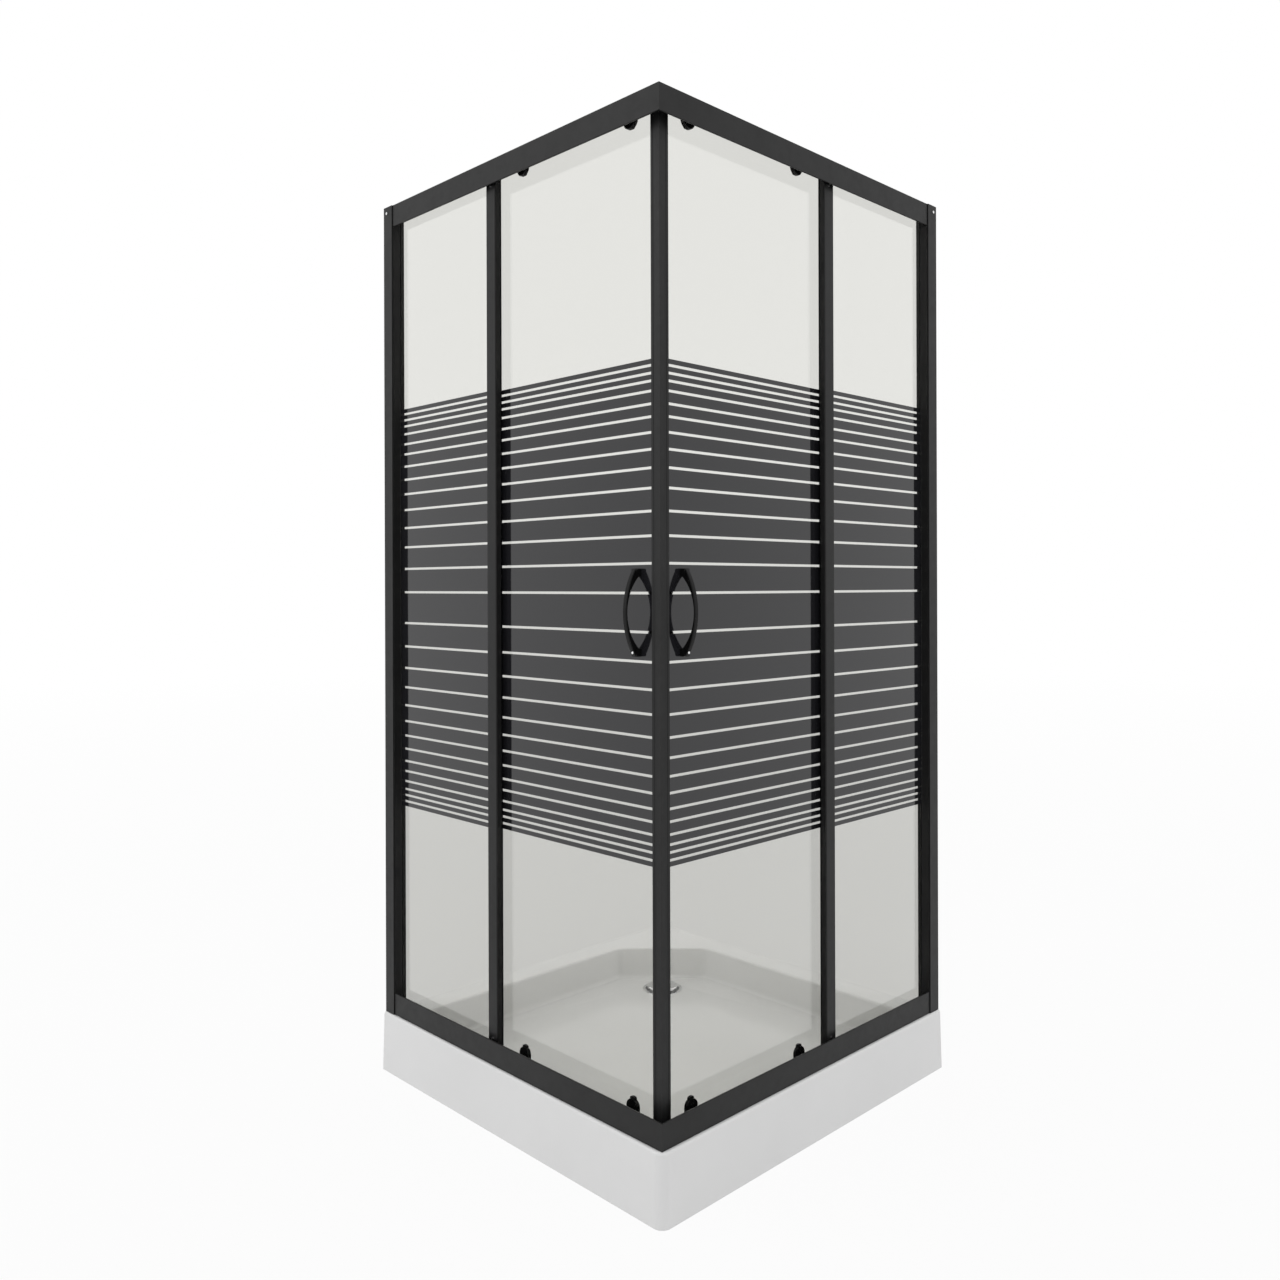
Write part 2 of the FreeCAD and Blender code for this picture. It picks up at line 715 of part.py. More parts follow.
def make_rail():
    body = new_body("rail")
    section = [
        ("0", "0"), ("rail_depth", "0"), ("rail_depth", "back_edge"),
        ("rail_depth - rail_wall", "back_edge"), ("rail_depth - rail_wall", "rail_base"),
        ("rib_two_back", "rail_base"), ("rib_two_back", "lip_under"), ("hook_front", "lip_under"),
        ("hook_front", "hook_tip"), ("hook_back", "hook_tip"), ("hook_back", "lip_height"),
        ("rib_two", "lip_height"), ("rib_two", "rail_base"), ("rib_one_back", "rail_base"),
        ("rib_one_back", "rib_height"), ("rib_one", "rib_height"), ("rib_one", "rail_base"),
        ("rail_wall", "rail_base"), ("rail_wall", "rail_height - rail_wall"),
        ("rail_bead", "rail_height - rail_wall"), ("rail_bead", "rail_height"), ("0", "rail_height"),
    ]
    outline = [(side(depth), up(height)) for depth, height in section]
    pad(body, sketch(body, "x", [outline], offset="rail_start"), "corner - (rail_start)")
    port = sketch(body, "x", [], offset="rail_start",
                  circles=[(side("port_depth"), up("port_height"), "port_radius")])
    pad(body, port, "corner - (rail_start)")
    screw_hole = (side("port_depth"), up("port_height"), "screw_radius + screw_gap")
    pocket(body, sketch(body, "x", [], circles=[screw_hole]))
    beyond = "rail_depth + overrun"
    mitre = [("corner + overrun", "-corner - overrun"), ("corner + overrun", side(beyond)),
             (along(beyond), side(beyond))]
    pocket(body, sketch(body, "z", [mitre]))
    face = size_of("frame_setback") - size_of("tray_width") / 2
    foot = size_of("tray_height")

    def fascia_edge(a, b):
        on_face = near(a.y, face) and near(b.y, face)
        level = near(a.z, b.z) and (near(a.z, foot) or near(a.z, foot + size_of("rail_height")))
        return on_face and level

    round_edges(body, "rail_edge_radius", fascia_edge)
    return body


bottom_rail = make_rail()
keep_pair("bottom_rail", bottom_rail)
keep_pair("top_rail", top_hand(bottom_rail))


# Wall channel and the jamb that slides in it to take up an uneven wall.

def upright(section, low, length, stem, circles=()):
    body = new_body(stem)
    outlines = [[(x, side(depth)) for x, depth in outline] for outline in section]
    rounds = [(x, side(depth), radius) for x, depth, radius in circles]
    pad(body, sketch(body, "z", outlines, offset=low, circles=rounds), length)
    return body


def from_wall(reach):
    return f"({reach}) - half"


def make_wall_side():
    far = "jamb_depth + wall_proud"
    channel = [("0", "-wall_proud"), ("wall_flange", "-wall_proud"),
               ("wall_flange", "channel_wall - wall_proud"), ("channel_wall", "channel_wall - wall_proud"),
               ("channel_wall", f"{far} - channel_wall"), ("wall_flange", f"{far} - channel_wall"),
               ("wall_flange", far), ("0", far)]
    outline = [(from_wall(x), depth) for x, depth in channel]
    body = upright([outline], "rim_top", "frame_height", "wall_profile")
    holes = [rod("x", "-half - overrun", side("jamb_depth / 2"), f"frame_mid + ({share}) * wall_screw_pitch",
                 "wall_screw_radius", "channel_wall + 2 * overrun") for share in (-0.5, 0.5)]
    face_hole = rod("y", from_wall("face_screw_inset"), side("-wall_proud - overrun"),
                    "frame_top - face_screw_drop", "screw_radius + screw_gap", "channel_wall + 2 * overrun")
    keep_pair("wall_profile", cut(body, face_hole, *holes))

    inner = "profile_wall"
    slot_end = "wall_box - slot_depth"
    jamb = [("jamb_gap", "0"), ("wall_box", "0"), ("wall_box", "rib_one_back"), (slot_end, "rib_one_back"),
            (slot_end, "rib_two"), ("wall_box", "rib_two"), ("wall_box", "jamb_depth"),
            ("jamb_gap", "jamb_depth")]
    chambers = [("wall_box", inner, f"rib_one_back - {inner}"), (slot_end, "rib_one_back", "rib_two"),
                ("wall_box", f"rib_two + {inner}", f"jamb_depth - {inner}")]
    outlines = [[(from_wall(x), depth) for x, depth in jamb]]
    for right, front, back in chambers:
        left, right = from_wall(f"jamb_gap + {inner}"), from_wall(f"{right} - {inner}")
        outlines.append([(left, front), (right, front), (right, back), (left, back)])
    body = upright(outlines, "rim_top", "frame_height", "jamb")
    face_hole = rod("y", from_wall("face_screw_inset"), side("-overrun"), "frame_top - face_screw_drop",
                    "screw_radius + screw_gap", "profile_wall + 2 * overrun")
    rail_holes = [rod("x", f"rail_start - {inner} - overrun", side("port_depth"), height,
                      "screw_radius + screw_gap", f"{inner} + 2 * overrun")
                  for height in (up("port_height"), "frame_top - port_height")]
    keep_pair("jamb", cut(body, face_hole, *rail_holes))


make_wall_side()


# Fixed panel: glass in gaskets between the rails, the jamb and the middle post.

def make_fixed_side():
    glass_left = from_wall("wall_box - slot_depth + glass_end_gap")
    glass_right = along("post_left - slot_depth + glass_end_gap")
    glass = box(glass_left, glass_right, side("glass_setback"), side("glass_back"),
                up("glass_foot"), "frame_top - glass_foot")
    keep_pair("fixed_glass", glass)

    front, back = side("rib_one_back"), side("rib_two")
    strips = [
        (from_wall("wall_box"), glass_right, up("rail_base"), up("rib_height")),
        (from_wall("wall_box"), glass_right, "frame_top - rib_height", "frame_top - rail_base"),
        (from_wall("wall_box - slot_depth"), from_wall("wall_box"), up("glass_foot"),
         "frame_top - glass_foot"),
        (along("post_left"), along("post_left - slot_depth"), up("lip_height"), "frame_top - lip_height"),
    ]
    gaskets = [cut(box(left, right, front, back, low, high), glass) for left, right, low, high in strips]
    keep("glazing_gaskets", grouped(*gaskets, *[right_hand(strip) for strip in gaskets]))

    left, right = along("post_left"), along("post_right")
    slot_end = along("post_left - slot_depth")
    post = [(left, "post_front"), (right, "post_front"), (right, "rib_two_back"), (left, "rib_two_back"),
            (left, "rib_two"), (slot_end, "rib_two"), (slot_end, "rib_one_back"), (left, "rib_one_back")]
    chamber_left, chamber_right = f"{slot_end} + profile_wall", f"{right} - profile_wall"
    chamber_front, chamber_back = "post_front + profile_wall", "rib_two_back - profile_wall"
    chamber = [(chamber_left, chamber_front), (chamber_right, chamber_front),
               (chamber_right, chamber_back), (chamber_left, chamber_back)]
    body = upright([post, chamber], up("lip_height"), "frame_height - 2 * lip_height", "mid_post")
    front_y = size_of("post_front") + size_of("frame_setback") - size_of("tray_width") / 2

    def front_corner(a, b):
        outer = near(a.y, front_y) and near(b.y, front_y)
        return outer and abs(a.z - b.z) > size_of("rail_height")

    round_edges(body, "post_edge_radius", front_corner)
    screw_x = along("post_right + post_width / 2")
    heights = (up("post_screw_height"), "frame_top - post_screw_height")
    holes = [rod("y", screw_x, side("post_front - overrun"), height, "screw_radius + screw_gap",
                 "profile_wall + 2 * overrun") for height in heights]
    keep_pair("mid_post", cut(body, *holes))

    gap = "plug_gap"
    block = box(f"{chamber_left} + {gap}", f"{chamber_right} - {gap}", side(f"{chamber_front} + {gap}"),
                side(f"{chamber_back} - {gap}"), up("lip_height"), up("lip_height + plug_height"))
    tongue = box(f"{chamber_left} + {gap}", f"{chamber_right} - {gap}", side(f"rib_one_back + {gap}"),
                 side(f"{chamber_back} - {gap}"), up("rail_base"), up("lip_height"))
    bore = rod("y", screw_x, side("post_front - overrun"), heights[0], "screw_radius + screw_gap",
               "screw_length")
    plug = cut(fused(block, tongue), bore)
    return plug, screw_x


post_plug, post_screw_x = make_fixed_side()


def make_connectors():
    """Corner brackets inside the rails' mitres, and plugs that seat the middle posts in the rails."""
    body = new_body("corner_bracket")
    outer, inner = f"rail_wall + plug_gap", f"rib_one - plug_gap"
    leg = "bracket_leg"
    plan = [(along(outer), side(outer)), (along(leg), side(outer)), (along(leg), side(inner)),
            (along(inner), side(inner)), (along(inner), side(leg)), (along(outer), side(leg))]
    pad(body, sketch(body, "z", [plan], offset=up("rail_base")), "bracket_height")
    middle = "(rail_wall + rib_one) / 2"
    spots = ((along("bracket_leg * 2 / 3"), side(middle)), (along(middle), side("bracket_leg * 2 / 3")))
    holes = [rod("z", x, y, "rim_top", "screw_radius + screw_gap", "bracket_height + overrun * 2")
             for x, y in spots]
    bracket = cut(body, *holes)
    plugs = [post_plug, right_hand(post_plug)]
    low = [bracket] + plugs
    keep("frame_connectors", grouped(*low, *[top_hand(piece) for piece in low]))
    return spots


bracket_spots = make_connectors()


# Pan-head screws: in the wall channel's face, from the jambs into the rails, in the posts and
# in the corner brackets.

def screw(axis, x, y, z, head_step, length):
    """A screw whose shank starts under its head and runs along the axis."""
    shank = rod(axis, x, y, z, "screw_radius", length)
    at = {"x": (f"({x}) - {head_step}", y, z), "y": (x, f"({y}) - {head_step}", z),
          "z": (x, y, f"({z}) + {head_step} - screw_head_height")}[axis]
    head = rod(axis, *at, "screw_head_radius", "screw_head_height")
    return fused(shank, head)


def make_screws():
    face = screw("y", from_wall("face_screw_inset"), side("-wall_proud"), "frame_top - face_screw_drop",
                 "screw_head_height", "screw_length")
    jamb = screw("x", "rail_start - profile_wall", side("port_depth"), up("port_height"),
                 "screw_head_height", "screw_length")
    post = screw("y", post_screw_x, side("post_front"), up("post_screw_height"),
                 "screw_head_height", "post_grip")
    level_pieces = [jamb, post]
    for x, y in bracket_spots[:1]:
        shank = rod("z", x, y, up("rail_base"), "screw_radius", "bracket_height")
        head = rod("z", x, y, up("rail_base + bracket_height"), "screw_head_radius", "screw_head_height")
        level_pieces.append(fused(shank, head))
    left = [face] + level_pieces + [top_hand(piece) for piece in level_pieces]
    keep("frame_screws", grouped(*left, *[right_hand(piece) for piece in left]))


make_screws()


# Door: glass, leading profile with its magnet strip, trailing seal, and what hangs on the glass.

def make_door():
    low, length = up("door_foot"), "door_length"
    panel = box(along("door_reach"), along("lead_tip + lead_slot_wall + glass_end_gap"),
                side("door_front"), side("door_back"), low, f"frame_top - door_foot")
    holes = []
    for reach in ("roller_near", "roller_far"):
        holes.append(rod("y", along(reach), side("door_front - overrun"), "frame_top - hole_height",
                         "top_hole_radius", "door_glass + 2 * overrun"))
        holes.append(rod("y", along(reach), side("door_front - overrun"), up("hole_height"),
                         "slide_hole_radius", "door_glass + 2 * overrun"))
    for height in ("handle_low + handle_foot / 2", "handle_top - handle_foot / 2"):
        holes.append(rod("y", along("handle_reach"), side("door_front - overrun"), up(height),
                         "handle_screw_radius + handle_hole_gap", "door_glass + 2 * overrun"))
    keep_pair("door_glass", cut(panel, *holes))

    slot_end = "lead_tip + lead_slot_wall"
    slot_front, slot_back = "door_front - glue_gap", "door_back + glue_gap"
    tongue_low, tongue_high = "lead_face + tongue_front", "lead_face + tongue_front + tongue_width"
    groove = "(lead_tip + lead_end) / 2"
    lead = [("lead_tip", "lead_face"), (f"{groove} - groove_width / 2", "lead_face"),
            (f"{groove}", "lead_face + groove_depth"), (f"{groove} + groove_width / 2", "lead_face"),
            ("lead_end", "lead_face"), ("lead_end", slot_front), (slot_end, slot_front),
            (slot_end, slot_back), ("lead_end", slot_back), ("lead_end", "lead_inside"),
            ("lead_inside + seam_gap", "lead_inside"), ("lead_tip", "lead_tip - seam_gap"),
            ("lead_tip", tongue_high), ("lead_tip + tongue_depth", tongue_high),
            ("lead_tip + tongue_depth", tongue_low), ("lead_tip", tongue_low)]
    keep_pair("lead_profile", upright([[(along(u), d) for u, d in lead]], low, length, "lead_profile"))

    magnet = [("lead_face + seam_gap", "lead_face"), ("lead_tip", "lead_face"), ("lead_tip", tongue_low),
              ("lead_tip + tongue_depth", tongue_low), ("lead_tip + tongue_depth", tongue_high),
              ("lead_tip", tongue_high), ("lead_tip", "lead_tip - seam_gap")]
    keep_pair("magnet_strip", upright([[(along(u), d) for u, d in magnet]], low, length, "magnet_strip"))

    grip = "door_reach - seal_grip"
    tip = "rib_two_back + fin_gap"
    end = "door_reach + seal_wall"
    seal = [(grip, "door_front - seal_wall"), ("door_reach - seal_wall", "door_front - seal_wall"),
            ("door_reach - seal_wall", tip), (end, tip), (end, "door_back + seal_wall"),
            (grip, "door_back + seal_wall"), (grip, "door_back"), ("door_reach", "door_back"),
            ("door_reach", "door_front"), (grip, "door_front")]
    keep_pair("trailing_seal", upright([[(along(u), d) for u, d in seal]], low, length, "trailing_seal"))


make_door()


# Top rollers: a cap outside the glass, and a hanger inside it that carries the wheel's axle.

def axle_at(reach, height):
    """The axle and its head, in front of the plate that carries it."""
    shank = rod("y", along(reach), side("axle_tip"), height, "axle_radius", "plate_front - axle_tip")
    head = rod("y", along(reach), side("axle_tip - axle_head"), height, "axle_head_radius", "axle_head")
    return [shank, head]


def plate_at(reach, low, high):
    half_wide = "plate_width / 2"
    middle = box(f"{along(reach)} - {half_wide}", f"{along(reach)} + {half_wide}",
                 side("plate_front"), side("plate_back"), low, high)
    ends = [rod("y", along(reach), side("plate_front"), height, half_wide, "plate_thickness")
            for height in (low, high)]
    return [middle] + ends


def make_top_rollers():
    caps = []
    hangers = []
    height = "frame_top - hole_height"
    middle = "frame_top - cap_drop"
    for reach in ("roller_near", "roller_far"):
        x = along(reach)
        disc = rod("y", x, side("cap_front"), middle, "cap_radius", "cap_thickness")
        rim = rod("y", x, side("cap_front - overrun"), middle, "cap_radius * 2",
                  "cap_edge_radius + overrun")
        bevel = doc.addObject("Part::Cone", fresh("bevel"))
        bevel.Placement.Rotation = TURNS["y"]
        place(bevel, x, side("cap_front"), middle)
        bevel.setExpression("Radius1", link("cap_radius - cap_edge_radius"))
        bevel.setExpression("Radius2", link("cap_radius"))
        bevel.setExpression("Height", link("cap_edge_radius"))
        flat = box(f"{x} - cap_radius * 2", f"{x} + cap_radius * 2", side("cap_front - overrun"),
                   side("door_back"), "frame_top - door_foot", "frame_top")
        seat = rod("y", x, side("door_front - boss_seat - plate_gap"), height,
                   "boss_radius + plate_gap", "door_glass")
        caps.append(cut(disc, cut(rim, bevel), flat, seat))
        boss = rod("y", x, side("door_front - boss_seat"), height, "boss_radius",
                   "plate_front - door_front + boss_seat")
        hangers.append(fused(boss, *plate_at(reach, height, "frame_top - wheel_height"),
                             *axle_at(reach, "frame_top - wheel_height")))
    keep_pair("top_roller_caps", grouped(*caps))
    keep_pair("top_roller_hangers", grouped(*hangers))


make_top_rollers()


# Low rollers: a bullet-shaped housing outside the glass holds a sprung carrier. Pressing the
# button lowers the carrier's wheel out of the bottom rail's hook, so the door swings free.

def make_low_rollers():
    housings = []
    for name, reach in (("near", "roller_near"), ("far", "roller_far")):
        x = along(reach)
        front, back = side("cap_front"), side("door_front")
        left, right = f"{x} - housing_radius", f"{x} + housing_radius"
        trunk = box(left, right, front, back, up("housing_foot"), up("arch_height"))
        arch = common(rod("y", x, front, up("arch_height"), "housing_radius", "cap_thickness"),
                      box(left, right, front, back, up("housing_foot"), up("housing_top")))
        cavity_front = side("cap_front + housing_wall")
        half_slider = "(slider_width / 2 + slider_gap)"
        cavity = box(f"{x} - {half_slider}", f"{x} + {half_slider}", cavity_front, side("door_back"),
                     up("cavity_foot"), up("cavity_top"))
        half_button = "(button_width / 2 + slider_gap)"
        slot = box(f"{x} - {half_button}", f"{x} + {half_button}", cavity_front, side("door_back"),
                   up("cavity_top"), up("housing_top + overrun"))
        housings.append(cut(fused(trunk, arch), fused(cavity, slot)))

        slide_front = side("cap_front + housing_wall + slider_gap")
        slide_back = side("door_front - slider_gap")
        block = box(f"{x} - slider_width / 2", f"{x} + slider_width / 2", slide_front, slide_back,
                    up("slider_foot"), up("slider_top"))
        stalk = box(f"{x} - button_width / 2", f"{x} + button_width / 2", slide_front, slide_back,
                    up("slider_top"), up("housing_top + button_rise"))
        dome = rod("y", x, slide_front, up("arch_height + button_rise"), "housing_radius",
                   "cap_thickness")
        button = common(stalk, dome)
        boss = rod("y", x, slide_back, up("boss_height"), "boss_radius",
                   "door_glass + slider_gap + plate_gap")
        carrier = fused(block, button, boss, *plate_at(reach, up("wheel_height"), up("boss_height")),
                        *axle_at(reach, up("wheel_height")))
        keep_pair(f"low_carrier_{name}", carrier)

        coil_y = f"({slide_front} + {slide_back}) / 2"
        spring_height = "slider_foot - cavity_foot - 2 * run_gap"
        coil = rod("z", x, coil_y, up("cavity_foot + run_gap"), "spring_radius", spring_height)
        core = rod("z", x, coil_y, up("cavity_foot"), "spring_radius - spring_wire", "slider_foot")
        keep_pair(f"roller_spring_{name}", cut(coil, core))
    keep_pair("low_roller_housings", grouped(*housings))


make_low_rollers()


def make_wheels():
    """Grooved wheels, each turned about its own axle."""
    places = [("top", "near", "frame_top - wheel_height"), ("top", "far", "frame_top - wheel_height"),
              ("low", "near", up("wheel_height")), ("low", "far", up("wheel_height"))]
    for level, name, height in places:
        reach = f"roller_{name}"
        x = along(reach)
        tyre = rod("y", x, side("wheel_front"), height, "wheel_radius", "wheel_width")
        groove_start = side("door_middle - wheel_groove / 2")
        ring = rod("y", x, groove_start, height, "wheel_radius * 2", "wheel_groove")
        core = rod("y", x, side("wheel_front"), height, "groove_radius", "wheel_width")
        bore = rod("y", x, side("wheel_front - overrun"), height, "axle_radius + axle_fit",
                   "wheel_width + 2 * overrun")
        keep_pair(f"{level}_wheel_{name}", cut(tyre, cut(ring, core), bore))


make_wheels()


def make_stops():
    """Rubber blocks in the rails' tracks that the doors' wheels meet when the doors are open."""
    start = "roller_far + door_travel + wheel_radius + run_gap"
    block = box(along(f"{start} + stop_length"), along(start), side("hook_back + run_gap"),
                side("plate_back"), up("rail_base"), up("stop_height"))
    pair = [block, top_hand(block)]
    keep("door_stops", grouped(*pair, *[right_hand(piece) for piece in pair]))


make_stops()


# Handles: one bow outside each door and the same bow turned over inside, with two screws.

def make_handles():
    x = along("handle_reach")
    left, right = f"{x} - handle_width / 2", f"{x} + handle_width / 2"
    low, high = up("handle_low"), up("handle_top")
    outward = "door_front - ({})".format
    outer = rod("x", left, side(outward("handle_rise - outer_arc")), up("handle_height"),
                "outer_arc", "handle_width")
    inner = rod("x", f"{left} - overrun", side(outward("handle_rise - handle_bar - inner_arc")),
                up("handle_height"), "inner_arc", "handle_width + 2 * overrun")
    ring = rounded(cut(outer, inner), "handle_edge_radius",
                   lambda edge: edge.Curve.TypeId == "Part::GeomCircle")
    room = box(f"{left} - overrun", f"{right} + overrun", side(outward("handle_rise + overrun")),
               side("door_front"), low, high)
    bow = common(ring, room)

    def runs_inward(edge):
        start, end = (vertex.Point for vertex in edge.Vertexes)
        return near(start.x, end.x) and near(start.z, end.z)

    def turned_over(piece):
        inside = mirrored(piece, INWARD, depth=side("door_middle"))
        return mirrored(inside, UPWARD, height=up("handle_height"))

    feet = []
    for start, end in ((low, f"{low} + handle_foot"), (f"{high} - handle_foot", high)):
        foot = box(f"{x} - handle_foot_width / 2", f"{x} + handle_foot_width / 2",
                   side(outward("handle_shoulder")), side("door_front"), start, end)
        feet.append(rounded(foot, "handle_foot_radius", runs_inward))
    whole = fused(bow, *feet)
    screw_low = f"{low} + handle_foot / 2"
    screw_high = f"{high} - handle_foot / 2"
    shaft = "handle_screw_radius + screw_gap"
    low_hole = rod("y", x, side(outward("handle_rise")), screw_low, shaft, "handle_rise + overrun")
    head_hole = rod("y", x, side(outward("handle_rise")), screw_low, "handle_head_radius + screw_gap",
                    "handle_rise - handle_recess + handle_head_height")
    high_hole = rod("y", x, side(outward("handle_recess - handle_head_height")), screw_high, shaft,
                    "handle_rise")
    bow_outside = cut(whole, fused(low_hole, head_hole), high_hole)
    keep_pair("outer_handle", bow_outside)
    keep_pair("inner_handle", turned_over(bow_outside))

    shank_start = side(outward("handle_recess - handle_head_height"))
    shank = rod("y", x, shank_start, screw_low, "handle_screw_radius",
                "door_glass + 2 * (handle_recess - handle_head_height) - screw_gap")
    head = rod("y", x, side(outward("handle_recess")), screw_low, "handle_head_radius", "handle_head_height")
    low_screw = fused(shank, head)
    keep_pair("handle_screws", grouped(low_screw, turned_over(low_screw)))


make_handles()


def check_and_write():
    """Stops on a failed object or a bad shape, then writes one file for each sub-part."""
    doc.recompute()
    for item in doc.Objects:
        if "Invalid" in item.State or "Error" in item.State:
            raise RuntimeError(f"{item.Name} ({item.Label}) is {item.State}")
    for name, piece in nodes.items():
        shape = piece.Shape
        if shape.isNull() or not shape.isValid() or not shape.Solids:
            raise RuntimeError(f"{name} has no valid solid")
    os.makedirs("parts", exist_ok=True)
    for name, piece in nodes.items():
        piece.Shape.exportStep(os.path.join("parts", f"{name}.step"))
    print(f"{len(nodes)} sub-parts written")


check_and_write()
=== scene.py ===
import json
import math

import bmesh
import bpy
from mathutils import Matrix, Vector


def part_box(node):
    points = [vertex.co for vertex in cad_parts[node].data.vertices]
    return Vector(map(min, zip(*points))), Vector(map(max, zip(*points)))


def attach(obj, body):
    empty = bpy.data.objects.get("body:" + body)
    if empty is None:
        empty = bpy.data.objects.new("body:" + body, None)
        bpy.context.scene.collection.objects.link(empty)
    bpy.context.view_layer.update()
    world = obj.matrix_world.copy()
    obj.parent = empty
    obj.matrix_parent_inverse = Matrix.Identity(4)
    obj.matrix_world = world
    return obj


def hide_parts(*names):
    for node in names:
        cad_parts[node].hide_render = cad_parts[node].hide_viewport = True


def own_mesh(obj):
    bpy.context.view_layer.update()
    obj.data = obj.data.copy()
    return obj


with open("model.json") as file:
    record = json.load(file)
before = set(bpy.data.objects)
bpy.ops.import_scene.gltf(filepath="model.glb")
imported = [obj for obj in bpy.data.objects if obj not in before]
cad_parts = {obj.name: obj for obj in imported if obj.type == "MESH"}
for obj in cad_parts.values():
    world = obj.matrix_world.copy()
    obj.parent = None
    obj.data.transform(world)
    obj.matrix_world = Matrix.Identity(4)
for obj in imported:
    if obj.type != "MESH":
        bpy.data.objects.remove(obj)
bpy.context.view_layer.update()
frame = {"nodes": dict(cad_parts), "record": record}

NODES = frame["nodes"]
HANDS = ("left", "right")
UP = Vector((0, 0, 1))


# Places read from the frame. The left-hand side faces -Y, and the right-hand side mirrors it.

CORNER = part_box("bottom_rail_left")[1].x        # the entry corner, along the left-hand rail
FRAME_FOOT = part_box("bottom_rail_left")[0].z    # on top of the tray
FIXED_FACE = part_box("fixed_glass_left")[0].y    # the outer faces of the panes
DOOR_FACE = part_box("door_glass_left")[0].y
DOOR_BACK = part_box("door_glass_left")[1].y
JAMB_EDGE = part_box("jamb_left")[1].x            # the edges of two profiles beside the panes
LEAD_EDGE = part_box("lead_profile_left")[0].x
HANDLE_LOW, HANDLE_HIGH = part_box("outer_handle_left")


# Camera: at the photograph's place, level but for a slight roll, looking at the entry corner.

CAMERA_PLACE = Vector((1.762, -1.756, 1.0991))
CAMERA_YAW = math.radians(134.99)
CAMERA_ROLL = math.radians(-0.168)
CAMERA_LENS = 30.70
CAMERA_SHIFT = (-0.01805, -0.04234)
SENSOR_WIDTH = 36


def make_camera():
    ahead = Vector((math.cos(CAMERA_YAW), math.sin(CAMERA_YAW), 0))
    right = ahead.cross(UP) * math.cos(CAMERA_ROLL) + UP * math.sin(CAMERA_ROLL)
    upward = right.cross(ahead)
    data = bpy.data.cameras.new("camera")
    data.lens = CAMERA_LENS
    data.sensor_width = SENSOR_WIDTH
    data.shift_x, data.shift_y = CAMERA_SHIFT
    camera = bpy.data.objects.new("camera", data)
    turn = Matrix((right, upward, -ahead)).transposed().to_4x4()
    camera.matrix_world = Matrix.Translation(CAMERA_PLACE) @ turn
    bpy.context.scene.collection.objects.link(camera)
    bpy.context.scene.camera = camera


make_camera()


# Materials. Noise scales are per metre, and bump distances are in metres.

NOISE_ROUGHNESS = 0.55
RAMP_START = 0.3
RAMP_END = 0.7


class Finish:
    """A node material round one Principled shader, with a few ways to give its surface detail."""

    def __init__(self, name, color, roughness, **inputs):
        self.material = bpy.data.materials.new(name)
        self.material.use_nodes = True
        self.tree = self.material.node_tree
        self.shader = self.tree.nodes["Principled BSDF"]
        self.set("Base Color", (*color, 1))
        self.set("Roughness", roughness)
        for key, value in inputs.items():
            self.set(key.replace("_", " "), value)
        self.coords = self.tree.nodes.new("ShaderNodeTexCoord").outputs["Object"]
        self.height = None

    def set(self, key, value):
        self.shader.inputs[key].default_value = value

    def node(self, kind, source_key, source, values):
        """Adds a node, links a source to one of its inputs and sets others."""
        item = self.tree.nodes.new("ShaderNode" + kind)
        self.tree.links.new(source, item.inputs[source_key])
        for key, value in values.items():
            item.inputs[key].default_value = value
        return item

    def noise(self, scale, stretch=(1, 1, 1), detail=4):
        """Noise in the object's own metres, drawn out along an axis by a small stretch."""
        mapping = self.node("Mapping", "Vector", self.coords, {"Scale": stretch})
        values = {"Scale": scale, "Detail": detail, "Roughness": NOISE_ROUGHNESS}
        return self.node("TexNoise", "Vector", mapping.outputs["Vector"], values).outputs["Fac"]

    def vary_roughness(self, source, low, high):
        """Runs the roughness from low to high with a source."""
        values = {"From Min": RAMP_START, "From Max": RAMP_END, "To Min": low, "To Max": high}
        ramp = self.node("MapRange", "Value", source, values)
        self.tree.links.new(ramp.outputs["Result"], self.shader.inputs["Roughness"])

    def vary_color(self, source, first, second):
        """Blends two colours by a source."""
        item = self.tree.nodes.new("ShaderNodeValToRGB")
        stops = item.color_ramp.elements
        for stop, color, position in zip(stops, (first, second), (RAMP_START, RAMP_END)):
            stop.color = (*color, 1)
            stop.position = position
        self.tree.links.new(source, item.inputs["Fac"])
        self.tree.links.new(item.outputs["Color"], self.shader.inputs["Base Color"])

    def bump(self, source, distance, strength):
        """Adds relief over what is already there."""
        item = self.node("Bump", "Height", source, {"Distance": distance, "Strength": strength})
        if self.height:
            self.tree.links.new(self.height, item.inputs["Normal"])
        self.height = item.outputs["Normal"]
        self.tree.links.new(self.height, self.shader.inputs["Normal"])


def grey(level):
    return (level,) * 3


def shaded(color, share):
    """A colour made darker or lighter, up to white."""
    return tuple(min(1, part * share) for part in color)


def powder_coat():
    """Satin black with the fine orange peel of powder coat."""
    finish = Finish("frame_black", grey(0.012), roughness=0.38, Specular_IOR_Level=0.22)
    finish.vary_roughness(finish.noise(scale=60), low=0.34, high=0.46)
    finish.vary_color(finish.noise(scale=7), first=grey(0.010), second=grey(0.014))
    finish.bump(finish.noise(scale=2600, detail=2), distance=0.00002, strength=0.5)
    return finish.material


def clear_glass():
    """Clear safety glass with a faint grey-green body colour and faint smears."""
    tint = (0.768, 0.767, 0.735)
    finish = Finish("glass_clear", tint, roughness=0.0, Transmission_Weight=1.0, IOR=1.46)
    finish.vary_roughness(finish.noise(scale=3, stretch=(1, 1, 0.35)), low=0.0, high=0.012)
    return finish.material


